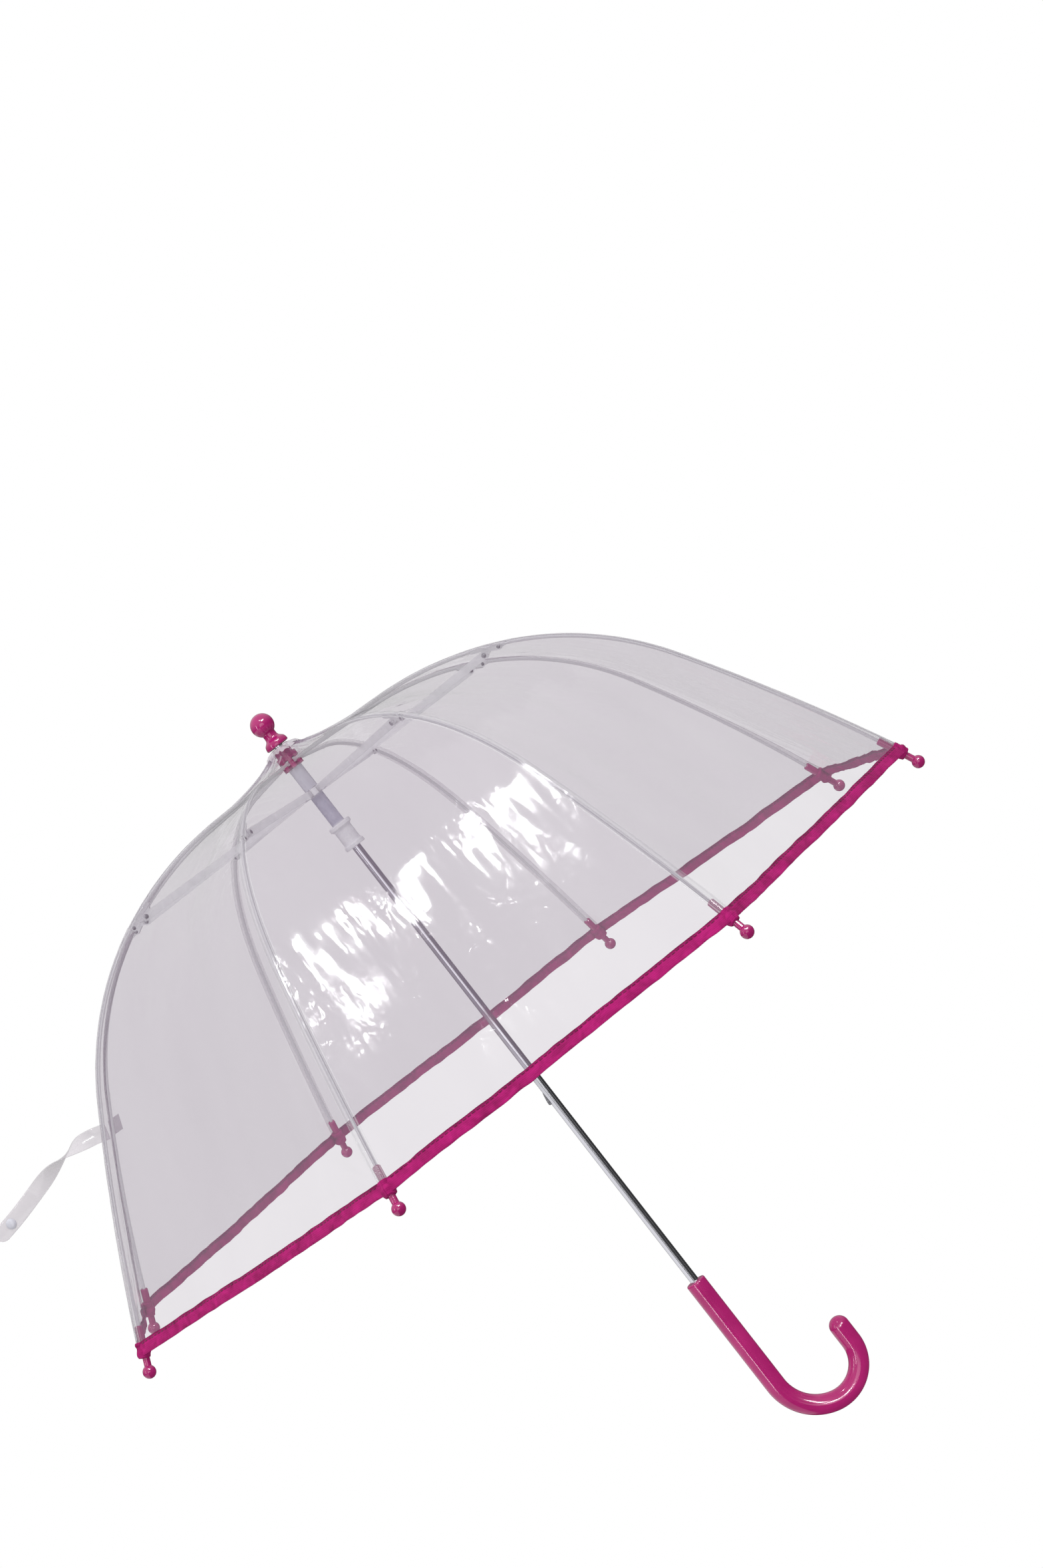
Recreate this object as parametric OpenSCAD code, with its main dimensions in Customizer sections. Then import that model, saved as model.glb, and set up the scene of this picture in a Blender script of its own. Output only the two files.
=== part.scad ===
// Children's dome umbrella: clear eight-panel canopy with a bound hem, hooked handle.
// Upright frame in millimetres: Z runs up the shaft, the hook opens towards +X,
// and the origin lies on the shaft axis inside the straight grip.

/* [Shaft] */
// Outside diameter of the steel shaft
shaft_d = 6.8; // [6.4:0.2:7.2]
// Wall of the shaft tube
shaft_wall = 0.55; // [0.4:0.05:0.8]
// Ferrule ball centre above the grip centre
top_z = 570; // [560:1:600]
// Handle mouth above the grip centre
mouth_z = 52; // [46:1:56]

/* [Ferrule] */
// Diameter of the ball at the very top
ball_d = 18; // [16:0.5:20]
// Diameter of the flared foot of the ferrule
foot_d = 18.2; // [17:0.2:19]
// Ball centre to the underside of the foot
foot_drop = 19; // [18.5:0.25:19.25]

/* [Handle] */
// Diameter of the handle bar
grip_d = 15.4; // [14:0.2:17]
// Radius of the first, wider bend of the hook
hook_r = 38; // [34:0.5:42]
// Angle of the wider bend, degrees
hook_turn = 75; // [60:1:90]
// Radius of the second bend
hook_r2 = 28.5; // [26:0.5:32]
// Start of the hook below the grip centre
hook_drop = 45.3; // [40:0.1:50]
// Straight length after the half turn
hook_tail = 13.5; // [6:0.5:18]

/* [Ribs] */
// Diameter of the rib rods
rod_d = 2.4; // [2:0.1:2.6]
// Radius of the ring of rib hinges
notch_hinge_r = 7; // [6.8:0.1:7.2]
// Rib hinges below the ferrule ball
notch_hinge_drop = 34; // [33:0.5:35]
// Straight run of a rib from its hinge
rib_run = 74; // [70:1:78]
// Fall of that run below level, degrees
rib_fall = 2.5; // [2:0.5:4]
// Radius of the shoulder bend
shoulder_r = 270; // [250:5:290]
// Angle of a rib at its joint, degrees
joint_angle = 24; // [22:0.5:26]
// Radius of the main bend
bend_r = 230; // [220:5:240]
// Angle where the skirt starts, degrees
skirt_angle = 57; // [55:0.5:59]
// Radius of the nearly straight skirt
skirt_r = 1266; // [1100:10:1500]
// Angle of a rib at the hem, degrees
hem_angle = 64.74; // [63:0.02:66]

/* [Stretchers] */
// Radius of the ring of stretcher hinges
ring_hinge_r = 7.2; // [7:0.1:7.4]
// Stretcher hinges below the ferrule ball
ring_hinge_drop = 61.7; // [61.2:0.1:62.2]
// Depth of a stretcher bar
bar_h = 5.2; // [4.4:0.2:6]
// Gap between the fork cheeks
fork_gap = 3.4; // [3.2:0.1:3.6]
// Length of the fork at the outer end
fork_len = 62; // [56:1:70]

/* [Canopy] */
// Film thickness as modelled
film_t = 0.5; // [0.4:0.1:0.6]
// Clearance of the film line from the rib line
film_gap = 1.9; // [1.8:0.1:2.2]
// The same clearance at the hem
hem_gap = 4.3; // [4.2:0.1:4.6]
// Width of the folded binding tape
tape_w = 9.6; // [8:0.2:11]
// Thickness of the folded tape
tape_t = 1.1; // [0.8:0.1:1.2]

/* [Tips] */
// Diameter of the ball on each tip
tip_ball_d = 9.4; // [8.4:0.2:10]
// Diameter of the tip sleeve
tip_d = 5.6; // [5.4:0.2:6.2]
// Hem line to the centre of the tip ball
tip_drop = 15.3; // [14:0.1:16]

/* [Strap] */
// Width of the closing strap
strap_w = 13; // [11:0.5:14]
// Strap root below the ferrule ball
strap_drop = 167; // [160:1:172]
// Free length of the strap
strap_len = 122; // [100:1:130]

/* [Hidden] */
$fn = 48;

fit = 0.05;
play = 0.35;
half = 22.5;
shaft_r = shaft_d / 2;
rod_r = rod_d / 2;

// Rib line in its own plane, as [radius, height]
function turn(a) = [sin(a), cos(a)];
hinge_n = [notch_hinge_r, top_z - notch_hinge_drop];
run_end = hinge_n + rib_run * [cos(rib_fall), -sin(rib_fall)];
centre_s = run_end - shoulder_r * turn(rib_fall);
joint_p = centre_s + shoulder_r * turn(joint_angle);
centre_b = joint_p - bend_r * turn(joint_angle);
skirt_p = centre_b + bend_r * turn(skirt_angle);
centre_k = skirt_p - skirt_r * turn(skirt_angle);
hem_p = centre_k + skirt_r * turn(hem_angle);

// Pins of the rib joint and the stretcher line
pin_b = joint_p - 1.6 * turn(joint_angle);
pin_a = centre_s + (shoulder_r - 5) * turn(joint_angle - 2.55);
hinge_q = [ring_hinge_r, top_z - ring_hinge_drop];
bar_v = pin_a - hinge_q;
bar_len = norm(bar_v);
bar_angle = atan2(bar_v[1], bar_v[0]);

// Film line over a rib, from the crown to the hem
film_z = top_z - foot_drop - 1.85;
crown_p = [7.5, film_z];
rise = [sin(rib_fall), cos(rib_fall)];
lie = hinge_n + 53 * [cos(rib_fall), -sin(rib_fall)] + film_gap * rise;
crown_c = [18, film_z - 9];
function bez(a, b, c, t) = (1 - t) * (1 - t) * a + 2 * t * (1 - t) * b + t * t * c;
function gap_at(u) = film_gap + (hem_gap - film_gap) * u * u;
upper_line = concat([[3.9, film_z]],
  [for (t = [0:0.125:1]) bez(crown_p, crown_c, lie, t)],
  [for (t = [0:0.125:1]) centre_s
    + (shoulder_r + film_gap) * turn(rib_fall + t * (joint_angle - 0.03 - rib_fall))]);
lower_line = concat(
  [for (t = [0:0.1:1]) centre_b
    + (bend_r + film_gap) * turn(joint_angle + 0.03 + t * (skirt_angle - joint_angle - 0.03))],
  [for (t = [0.125:0.125:1]) centre_k
    + (skirt_r + gap_at(t)) * turn(skirt_angle + t * (hem_angle - skirt_angle))]);
hem_e = centre_k + (skirt_r + hem_gap) * turn(hem_angle);
hem_d = [cos(hem_angle), -sin(hem_angle)];
tape_line = [hem_e - tape_w / 2 * hem_d, hem_e + tape_w / 2 * hem_d];

// Offset strip about an open line of points
function dir(p, i) = let (a = p[max(i - 1, 0)], b = p[min(i + 1, len(p) - 1)]) (b - a) / norm(b - a);
function side(p, i, t) = let (d = dir(p, i)) p[i] + t / 2 * [-d[1], d[0]];
function strip(p, t) = concat([for (i = [0:len(p) - 1]) side(p, i, t)],
  [for (i = [len(p) - 1:-1:0]) side(p, i, -t)]);
function flat(p) = [for (q = p) [q[0] * cos(half), q[1]]];

// Azimuth of rib i and of the panel that follows it
function rib_az(i) = 45 * (i - 1) - half;
function panel_az(i) = 45 * (i - 1);

module at_rib(i) rotate([0, 0, rib_az(i)]) children();

// Flat shape of a rib plane given thickness t across it
module plate(t) rotate([90, 0, 0]) linear_extrude(height = t, center = true) children();

// Rod piece bent about centre c from angle a to angle b
module bent_rod(c, r, a, b, d)
  translate([c[0], 0, c[1]]) rotate([90, 0, 0]) rotate([0, 0, 90 - b])
    rotate_extrude(angle = b - a) translate([r, 0]) circle(d = d);

module cross_pin(p, d, t)
  translate([p[0], 0, p[1]]) rotate([90, 0, 0]) cylinder(d = d, h = t, center = true);

module link2d(p, q, dp, dq) hull() {
  translate(p) circle(d = dp, $fn = 24);
  translate(q) circle(d = dq, $fn = 24);
}

module tube(r_out, r_in, z0, z1) difference() {
  translate([0, 0, z0]) cylinder(r = r_out, h = z1 - z0);
  translate([0, 0, z0 - 1]) cylinder(r = r_in, h = z1 - z0 + 2);
}

module hinge_slots(r_in, z0, z1) for (i = [1:8]) at_rib(i)
  translate([r_in, -1.45, z0]) cube([12, 2.9, z1 - z0]);

// Wedge between two ribs, a hair short of each rib plane
module wedge() translate([0.25, 0, 100]) linear_extrude(height = 520)
  polygon([[0, 0], [460, 460 * tan(half)], [460, -460 * tan(half)]]);

// ---- fixed pieces ----

catch_top_z = top_z - 64.8;
catch_low_z = top_z - 350.1;

module catch_slot(z0, z1) translate([-6, -1, z0]) cube([6, 2, z1 - z0]);

module shaft_tube() color([0.75, 0.76, 0.78]) difference() {
  tube(shaft_r, shaft_r - shaft_wall, mouth_z - 42, top_z - 2);
  catch_slot(catch_top_z - 11.4, catch_top_z + 0.2);
  catch_slot(catch_low_z - 0.2, catch_low_z + 11.4);
}

// The two bends of the hook meet at hook_m, and hook_c2 is the centre of the second
hook_way = [cos(hook_turn), sin(hook_turn)];
hook_m = [hook_r, -hook_drop] - hook_r * hook_way;
hook_c2 = hook_m + hook_r2 * hook_way;
bend_gap = 0.5;

module handle() color([0.84, 0.12, 0.48]) difference() {
  union() {
    rotate_extrude() polygon([[0, -hook_drop], [grip_d / 2, -hook_drop], [grip_d / 2, mouth_z - 2.4],
      [grip_d / 2 - 0.7, mouth_z - 0.7], [grip_d / 2 - 2.4, mouth_z], [0, mouth_z]]);
    translate([hook_r, 0, -hook_drop]) rotate([90, 0, 0]) rotate([0, 0, 180])
      rotate_extrude(angle = hook_turn - bend_gap) translate([hook_r, 0]) circle(d = grip_d);
    // A ball a hair wider than the bar fills the gap between the bends
    translate([hook_m[0], 0, hook_m[1]]) sphere(d = grip_d + 0.1, $fn = 96);
    translate([hook_c2[0], 0, hook_c2[1]]) {
      rotate([-90, 0, 0])
        rotate_extrude(angle = 180 - hook_turn - bend_gap) translate([hook_r2, 0]) circle(d = grip_d);
      translate([hook_r2, 0, 0]) cylinder(d = grip_d, h = hook_tail);
      translate([hook_r2, 0, hook_tail]) sphere(d = grip_d);
    }
  }
  translate([0, 0, mouth_z - 42 - fit]) cylinder(r = shaft_r + fit, h = 60);
}

module ferrule() color([0.84, 0.12, 0.48]) difference() {
  union() {
    translate([0, 0, top_z]) sphere(d = ball_d);
    translate([0, 0, top_z - foot_drop]) rotate_extrude() polygon([[0, 0], [foot_d / 2 - 0.6, 0],
      [foot_d / 2 - 0.1, 0.6], [foot_d / 2, 1.8], [foot_d / 2 - 0.4, 3.7], [foot_d / 2 - 1, 4.7],
      [foot_d / 2 - 2.3, 5.8], [foot_d / 2 - 3.5, 6.9], [foot_d / 2 - 4, 7.8],
      [foot_d / 2 - 4, 12], [0, 12]]);
  }
  translate([0, 0, top_z - foot_drop - 1]) cylinder(r = shaft_r + fit, h = foot_drop - 1 + fit);
}

module crown_washer() color([0.9, 0.9, 0.93, 0.6])
  tube(9.8, shaft_r + fit, top_z - foot_drop - 1.3, top_z - foot_drop - 0.1);

module top_notch() color([0.84, 0.12, 0.48]) difference() {
  union() {
    tube(8.2, shaft_r + fit, top_z - 39, top_z - 27.5);
    tube(6.6, shaft_r + fit, top_z - 28, top_z - foot_drop - 2.4);
  }
  hinge_slots(4.85, top_z - 40, top_z - notch_hinge_drop + 2.3);
  translate([0, 0, top_z - notch_hinge_drop]) rotate_extrude()
    translate([notch_hinge_r, 0]) circle(r = 0.5 + fit);
}

module notch_wire() color([0.5, 0.5, 0.52]) translate([0, 0, top_z - notch_hinge_drop])
  rotate_extrude() translate([notch_hinge_r, 0]) circle(r = 0.5);

module stop_sleeve() color([0.93, 0.93, 0.95])
  tube(5.5, shaft_r + fit, top_z - 58.6, top_z - 39.05);

// ---- runner and catches ----

module runner() color([0.95, 0.95, 0.96]) difference() {
  union() {
    tube(9.6, shaft_r + play, top_z - 64.5, top_z - 59);
    tube(5.3, shaft_r + play, top_z - 92, top_z - 64);
    difference() {
      translate([0, 0, top_z - 112]) rotate_extrude() polygon([[0, 0], [7.7, 0], [8.25, 0.6],
        [8.25, 2.8], [7.3, 3.8], [7, 5], [7, 15.5], [7.4, 16.8], [9, 18], [9, 20.2],
        [8.4, 21], [0, 21]]);
      translate([0, 0, top_z - 113]) cylinder(r = shaft_r + play, h = 23);
    }
  }
  hinge_slots(4.85, top_z - 64.6, top_z - 58.9);
  translate([0, 0, top_z - ring_hinge_drop]) rotate_extrude()
    translate([ring_hinge_r, 0]) circle(r = 0.5 + fit);
  translate([-5.6, -1.2, top_z - 113]) cube([5.6, 2.4, 48.5]);
}

module runner_wire() color([0.5, 0.5, 0.52]) translate([0, 0, top_z - ring_hinge_drop])
  rotate_extrude() translate([ring_hinge_r, 0]) circle(r = 0.5);

// Spring catch with its flat nose at height 0 and its slope running to -10
module catch_plate() plate(1.5) polygon([[-shaft_r - 1.6, -0.6], [-shaft_r - 1.2, 0], [-2.5, 0],
  [-2.5, 3], [-0.6, 3], [0.4, 1], [0.4, -17], [-0.8, -19], [-2.5, -19], [-2.5, -10.6],
  [-shaft_r, -10.6], [-shaft_r - 0.7, -8], [-shaft_r - 1.6, -2.6]]);

module top_catch() color([0.6, 0.6, 0.62]) translate([0, 0, catch_top_z]) catch_plate();

module bottom_catch() color([0.6, 0.6, 0.62]) translate([0, 0, catch_low_z])
  mirror([0, 0, 1]) catch_plate();

// ---- ribs ----

module rib_inner(i) color([0.86, 0.86, 0.88]) at_rib(i) difference() {
  union() {
    cross_pin(hinge_n, 3.8, 2.2);
    translate([hinge_n[0], 0, hinge_n[1]]) rotate([0, 90 + rib_fall, 0])
      translate([0, 0, 1.2]) cylinder(r = rod_r, h = rib_run - 1.2);
    translate([run_end[0], 0, run_end[1]]) rotate([0, 90 + rib_fall, 0])
      cylinder(r = rod_r + 0.2, h = 3, center = true);
    bent_rod(centre_s, shoulder_r, rib_fall, joint_angle - 1, rod_d);
    plate(2.6) {
      link2d(centre_s + (shoulder_r - 0.6) * turn(joint_angle - 4.4),
        centre_s + (shoulder_r - 0.4) * turn(joint_angle - 1.05), 2.9, 3.3);
      link2d(pin_a, centre_s + (shoulder_r - 1.2) * turn(joint_angle - 1.5), 4.4, 4.4);
    }
    difference() {
      plate(2.9) link2d(centre_s + (shoulder_r - 1.6) * turn(joint_angle - 1.1), pin_b, 4, 4.6);
      plate(1.6) union() {
        translate(pin_b) circle(d = 5.8, $fn = 32);
        polygon([pin_b + [-0.6, -4], pin_b + [8, -8], pin_b + [8, 6], pin_b + [-0.6, 4]]);
      }
    }
    cross_pin(pin_a, 1.8, fork_gap + 2.5);
    for (s = [-1, 1]) translate([0, s * (fork_gap / 2 + 1.25), 0]) cross_pin(pin_a, 3, 0.5);
    cross_pin(pin_b, 1.5, 2.9);
  }
  cross_pin(hinge_n, 1.5, 6);
}

module rib_outer(i) color([0.86, 0.86, 0.88]) at_rib(i) difference() {
  union() {
    cross_pin(pin_b, 4.4, 1);
    plate(1) link2d(pin_b, centre_b + bend_r * turn(joint_angle + 1.6), 3, 2.2);
    bent_rod(centre_b, bend_r, joint_angle + 1.2, skirt_angle, rod_d);
    translate([skirt_p[0], 0, skirt_p[1]]) rotate([0, 90 + skirt_angle, 0])
      cylinder(r = rod_r + 0.2, h = 3, center = true);
    bent_rod(centre_k, skirt_r, skirt_angle, hem_angle + 0.25, rod_d);
  }
  cross_pin(pin_b, 2.1, 6);
}

// Tip cap: sleeve, neck and ball along the end of a rib
module tip(i) color([0.84, 0.12, 0.48]) at_rib(i)
  translate([hem_p[0], 0, hem_p[1]]) rotate([0, 90 + hem_angle, 0]) difference() {
    union() {
      rotate_extrude() polygon([[0, -16.5], [tip_d / 2 - 0.5, -16.5], [tip_d / 2, -15.9],
        [tip_d / 2, 4.6], [tip_d / 2 - 0.3, 5.8], [2.5, 7], [2.5, tip_drop], [0, tip_drop]]);
      translate([0, 0, tip_drop]) sphere(d = tip_ball_d);
    }
    translate([0, 0, -17.5]) cylinder(r = rod_r + 0.15, h = 17.5 + 6.2);
  }

// ---- stretchers ----

module stretcher(i) color([0.9, 0.9, 0.92, 0.8]) at_rib(i)
  translate([hinge_q[0], 0, hinge_q[1]]) rotate([0, -bar_angle, 0]) difference() {
    union() {
      cross_pin([0, 0], 3.8, 2.2);
      plate(2.2) polygon([[0.9, 1.5], [14, bar_h / 2], [bar_len - fork_len + 6, bar_h / 2],
        [bar_len - fork_len + 6, -bar_h / 2], [14, -bar_h / 2], [0.9, -1.5]]);
      difference() {
        plate(fork_gap + 1.8) union() {
          polygon([[bar_len - fork_len, bar_h / 2 - 0.4], [bar_len - fork_len + 6, bar_h / 2],
            [bar_len, 3], [bar_len, -3], [bar_len - fork_len + 6, -bar_h / 2],
            [bar_len - fork_len, -bar_h / 2 + 0.4]]);
          translate([bar_len, 0]) circle(r = 3);
        }
        translate([bar_len - fork_len + 5, -fork_gap / 2, -10]) cube([fork_len, fork_gap, 20]);
      }
    }
    cross_pin([0, 0], 1.6, 6);
    cross_pin([bar_len, 0], 2.6, 12);
  }

// ---- canopy ----

module panel_upper(i) color([0.88, 0.89, 0.92, 0.35]) rotate([0, 0, panel_az(i)])
  intersection() {
    plate(400) polygon(flat(strip(upper_line, film_t)));
    wedge();
  }

module panel_lower(i) color([0.88, 0.62, 0.76, 0.45]) rotate([0, 0, panel_az(i)])
  intersection() {
    plate(400) union() {
      polygon(flat(strip(lower_line, film_t)));
      polygon(flat(strip(tape_line, tape_t)));
    }
    wedge();
  }

// Closing strap from the fifth seam: a free strip that ends in a press stud
strap_f = acos((top_z - strap_drop - centre_k[1]) / (skirt_r + film_gap));
strap_root = centre_k[0] + (skirt_r + film_gap) * sin(strap_f);
module strap() color([0.92, 0.92, 0.95, 0.6]) at_rib(5)
  translate([strap_root, 0, top_z - strap_drop]) {
    difference() {
      translate([0, 0, -strap_w / 2]) linear_extrude(height = strap_w)
        polygon(strip([[-3, 0.2], [3, 0.9], [9, 0.6], [strap_len * 0.3, -1.5],
          [strap_len * 0.55, -4], [strap_len * 0.8, -3], [strap_len, 1]], 0.9));
      rotate([0, strap_f - 90, 0]) translate([-49.1, -50, -50]) cube([50, 100, 100]);
    }
    translate([strap_len - 13, -2.2, 0]) rotate([90, 0, 0]) cylinder(d = 8.6, h = 2, center = true);
    translate([strap_len - 13, 0.2, 0]) rotate([90, 0, 0]) cylinder(d = 7.2, h = 2.2, center = true);
  }

// ---- one module per numbered piece ----

module rib_inner_1() rib_inner(1);
module rib_inner_2() rib_inner(2);
module rib_inner_3() rib_inner(3);
module rib_inner_4() rib_inner(4);
module rib_inner_5() rib_inner(5);
module rib_inner_6() rib_inner(6);
module rib_inner_7() rib_inner(7);
module rib_inner_8() rib_inner(8);
module rib_outer_1() rib_outer(1);
module rib_outer_2() rib_outer(2);
module rib_outer_3() rib_outer(3);
module rib_outer_4() rib_outer(4);
module rib_outer_5() rib_outer(5);
module rib_outer_6() rib_outer(6);
module rib_outer_7() rib_outer(7);
module rib_outer_8() rib_outer(8);
module tip_1() tip(1);
module tip_2() tip(2);
module tip_3() tip(3);
module tip_4() tip(4);
module tip_5() tip(5);
module tip_6() tip(6);
module tip_7() tip(7);
module tip_8() tip(8);
module stretcher_1() stretcher(1);
module stretcher_2() stretcher(2);
module stretcher_3() stretcher(3);
module stretcher_4() stretcher(4);
module stretcher_5() stretcher(5);
module stretcher_6() stretcher(6);
module stretcher_7() stretcher(7);
module stretcher_8() stretcher(8);
module panel_upper_1() panel_upper(1);
module panel_upper_2() panel_upper(2);
module panel_upper_3() panel_upper(3);
module panel_upper_4() panel_upper(4);
module panel_upper_5() panel_upper(5);
module panel_upper_6() panel_upper(6);
module panel_upper_7() panel_upper(7);
module panel_upper_8() panel_upper(8);
module panel_lower_1() panel_lower(1);
module panel_lower_2() panel_lower(2);
module panel_lower_3() panel_lower(3);
module panel_lower_4() panel_lower(4);
module panel_lower_5() panel_lower(5);
module panel_lower_6() panel_lower(6);
module panel_lower_7() panel_lower(7);
module panel_lower_8() panel_lower(8);

shaft_tube();
handle();
ferrule();
crown_washer();
top_notch();
notch_wire();
stop_sleeve();
runner();
runner_wire();
top_catch();
bottom_catch();
strap();
rib_inner_1();
rib_inner_2();
rib_inner_3();
rib_inner_4();
rib_inner_5();
rib_inner_6();
rib_inner_7();
rib_inner_8();
rib_outer_1();
rib_outer_2();
rib_outer_3();
rib_outer_4();
rib_outer_5();
rib_outer_6();
rib_outer_7();
rib_outer_8();
tip_1();
tip_2();
tip_3();
tip_4();
tip_5();
tip_6();
tip_7();
tip_8();
stretcher_1();
stretcher_2();
stretcher_3();
stretcher_4();
stretcher_5();
stretcher_6();
stretcher_7();
stretcher_8();
panel_upper_1();
panel_upper_2();
panel_upper_3();
panel_upper_4();
panel_upper_5();
panel_upper_6();
panel_upper_7();
panel_upper_8();
panel_lower_1();
panel_lower_2();
panel_lower_3();
panel_lower_4();
panel_lower_5();
panel_lower_6();
panel_lower_7();
panel_lower_8();
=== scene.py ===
"""Looks for the children's dome umbrella: clear canopy, bound hem, hooked handle. Metres, Z up the shaft."""

import math

import bpy
import numpy as np
from mathutils import Matrix, Vector

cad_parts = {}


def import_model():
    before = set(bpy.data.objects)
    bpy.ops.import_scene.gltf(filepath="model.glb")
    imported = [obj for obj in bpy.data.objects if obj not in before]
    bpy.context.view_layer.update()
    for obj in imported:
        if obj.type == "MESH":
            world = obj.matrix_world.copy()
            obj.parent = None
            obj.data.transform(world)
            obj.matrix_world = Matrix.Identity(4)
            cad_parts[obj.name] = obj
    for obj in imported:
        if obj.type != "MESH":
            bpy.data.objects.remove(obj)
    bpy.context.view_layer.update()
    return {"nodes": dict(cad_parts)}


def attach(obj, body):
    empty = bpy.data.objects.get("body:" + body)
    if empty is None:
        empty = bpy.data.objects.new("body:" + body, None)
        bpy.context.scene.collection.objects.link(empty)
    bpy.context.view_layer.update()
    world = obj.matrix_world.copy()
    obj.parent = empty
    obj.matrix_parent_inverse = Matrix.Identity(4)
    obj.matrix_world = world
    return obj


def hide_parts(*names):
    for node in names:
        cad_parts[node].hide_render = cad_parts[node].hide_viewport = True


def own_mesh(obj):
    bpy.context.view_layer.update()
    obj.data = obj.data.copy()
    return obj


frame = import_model()
cad = frame["nodes"]

# ---------------------------------------------------------------- the frame's own lines

T = 0.570  # ferrule ball centre
HALF = math.radians(22.5)
CH, SH = math.cos(HALF), math.sin(HALF)


def turn(a):
    """Unit vector at a degrees from straight up, as (radius, height)."""
    return np.array([math.sin(math.radians(a)), math.cos(math.radians(a))])


FALL, A_J, A_S, A_H = 2.5, 24.0, 57.0, 64.74
R_S, R_B, R_K = 0.270, 0.230, 1.266
GAP, HEM_GAP = 0.0019, 0.0043
HINGE_N = np.array([0.007, T - 0.034])
RUN = np.array([math.cos(math.radians(FALL)), -math.sin(math.radians(FALL))])
RUN_END = HINGE_N + 0.074 * RUN
C_S = RUN_END - R_S * turn(FALL)
P_J = C_S + R_S * turn(A_J)
C_B = P_J - R_B * turn(A_J)
P_S = C_B + R_B * turn(A_S)
C_K = P_S - R_K * turn(A_S)
P_H = C_K + R_K * turn(A_H)
PIN_B = P_J - 0.0016 * turn(A_J)
PIN_A = C_S + (R_S - 0.005) * turn(A_J - 2.55)
HEM_D = np.array([math.cos(math.radians(A_H)), -math.sin(math.radians(A_H))])
TAPE_W, TAPE_T = 0.0096, 0.0011
SEAM_HALF = 0.0043
RIBS = range(1, 9)  # eight ribs and eight panels, numbered from 1


def film_line():
    """The film over a rib, crown to hem and 6 mm beyond, with the lengths of its two halves."""
    z = T - 0.02085
    lie = HINGE_N + 0.053 * RUN + GAP * np.array([-RUN[1], RUN[0]])
    a, b = np.array([0.0075, z]), np.array([0.018, z - 0.009])
    k = np.linspace(0, 1, 40)[:, None]
    up = [np.array([[0.0041, z]]), (1 - k) ** 2 * a + 2 * k * (1 - k) * b + k * k * lie]
    up += [np.array([C_S + (R_S + GAP) * turn(x)]) for x in np.linspace(FALL, A_J, 40)]
    up = np.vstack(up)
    low = [C_B + (R_B + GAP) * turn(x) for x in np.linspace(A_J, A_S, 60)[1:]]
    for u in np.linspace(0, 1, 60)[1:]:
        gap = GAP + (HEM_GAP - GAP) * u * u
        low.append(C_K + (R_K + gap) * turn(A_S + u * (A_H - A_S)))
    low = np.array(low)
    line = np.vstack([up, low, [low[-1] + 0.006 * HEM_D]])
    step = np.hypot(*np.diff(line, axis=0).T)
    s = np.concatenate([[0], np.cumsum(step)])
    return line, s, s[len(up) - 1], s[-2]


LINE, LINE_S, S_J, S_H = film_line()
MID = LINE * np.array([CH, 1.0])
_g = np.gradient(MID, LINE_S, axis=0)
_n = np.stack([-_g[:, 1], _g[:, 0]], 1)
_n /= np.linalg.norm(_n, axis=1)[:, None]
for _k in range(3):
    _n[1:-1] = (_n[:-2] + 2 * _n[1:-1] + _n[2:]) / 4
    _n /= np.linalg.norm(_n, axis=1)[:, None]
NORM = _n


def rib_az(i):
    return math.radians(45 * (i - 1) - 22.5)


def panel_az(i):
    return math.radians(45 * (i - 1))


def radial(a):
    return np.array([math.cos(a), math.sin(a), 0.0])


def tangent(a):
    return np.array([-math.sin(a), math.cos(a), 0.0])


UP = np.array([0.0, 0.0, 1.0])

# ---------------------------------------------------------------- smooth seeded noise


def _hash(x, y, seed):
    h = (x.astype(np.int64) * 374761393 + y.astype(np.int64) * 668265263 + seed * 2246822519) & 0xFFFFFFFF
    h = ((h ^ (h >> 13)) * 1274126177) & 0xFFFFFFFF
    return ((h ^ (h >> 16)) & 0xFFFF) / 32767.5 - 1.0


def lump(x, y, seed=0):
    """Smooth noise from -1 to 1 over a plane."""
    x, y = np.broadcast_arrays(np.asarray(x, float), np.asarray(y, float))
    x0, y0 = np.floor(x), np.floor(y)
    fx, fy = x - x0, y - y0
    fx, fy = fx * fx * (3 - 2 * fx), fy * fy * (3 - 2 * fy)
    a, b = _hash(x0, y0, seed), _hash(x0 + 1, y0, seed)
    c, d = _hash(x0, y0 + 1, seed), _hash(x0 + 1, y0 + 1, seed)
    return (a * (1 - fx) + b * fx) * (1 - fy) + (c * (1 - fx) + d * fx) * fy


def crease(x, y, seed=0):
    """Ridged noise: 1 on thin wandering lines, falling to 0 between them."""
    return 1 - np.sqrt(np.abs(lump(x, y, seed)))


def ease(x, a, b):
    k = np.clip((x - a) / (b - a), 0, 1)
    return k * k * (3 - 2 * k)


# ---------------------------------------------------------------- the canopy surface


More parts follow.
